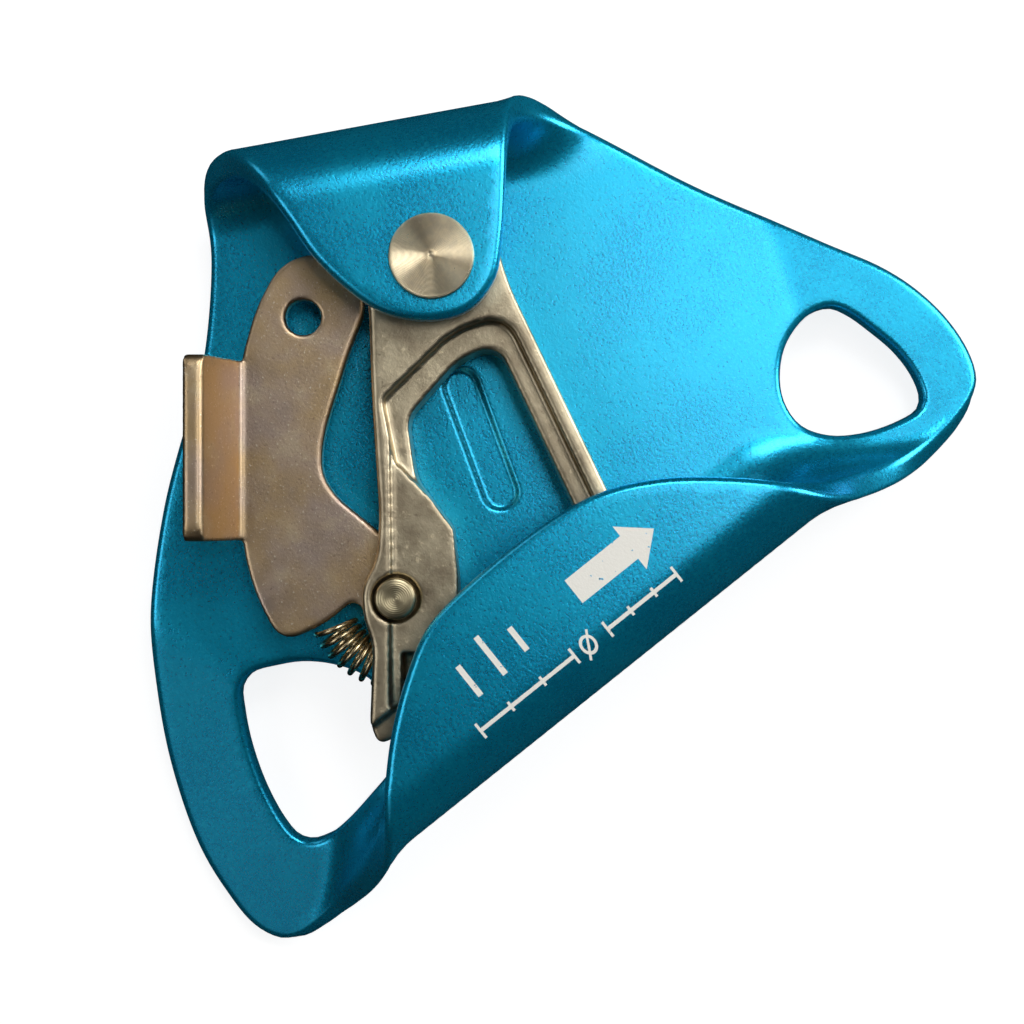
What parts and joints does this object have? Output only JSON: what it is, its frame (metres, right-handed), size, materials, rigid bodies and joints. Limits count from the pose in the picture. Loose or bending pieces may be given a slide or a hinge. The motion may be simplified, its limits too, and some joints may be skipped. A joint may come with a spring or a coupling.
{
  "type": "chest ascender",
  "caption": "Chest ascender bent from one anodised plate, with a rope channel, two eyelets, a sprung toothed cam and a hand-operated catch lever.",
  "frame": {"origin": "centre of the bounding box's base, with the ascender lying on its back", "axes": "+Y the way up the rope, +X towards the rope channel's closed side, +Z out of the front"},
  "size_m": [0.1005, 0.1403, 0.0303],
  "materials": {
    "anodised_plate": "satin blue anodised over blasted metal",
    "cast_steel": "cast, yellow zinc plated",
    "plated_sheet": "satin yellow zinc plated sheet",
    "turned_steel": "turned",
    "pin_steel": "worn yellow zinc plated",
    "bushing_brass": "plain",
    "spring_wire": "drawn wire, yellow plated"
  },
  "bodies": {
    "frame_body": {"frame": "anodised_plate", "cam_axle": "turned_steel", "axle_washer": "turned_steel", "cam_washer_rear": "turned_steel", "cam_washer_front": "turned_steel", "cam_bushing": "bushing_brass", "cam_spring": "spring_wire"},
    "cam_body": {"cam": "cast_steel", "catch_pin": "pin_steel", "catch_spring": "spring_wire"},
    "lever_body": {"catch_lever": "plated_sheet"}
  },
  "joints": [
    {"name": "cam_pivot", "type": "hinge", "parent": "frame_body", "child": "cam_body", "pos_m": [-0.01755, 0.0135, 0.0165], "axis": [0, 0, 1], "range_deg": [-30, 0], "stiffness_Nm_per_rad": 0.15, "springref_deg": 20.05, "deforming": ["cam_spring"]},
    {"name": "lever_pivot", "type": "hinge", "parent": "cam_body", "child": "lever_body", "pos_m": [0.01635, -0.0204, 0.0156], "axis": [0, 0, 1], "range_deg": [0, 10], "stiffness_Nm_per_rad": 0.06, "springref_deg": -17.19, "deforming": ["catch_spring"]}
  ]
}
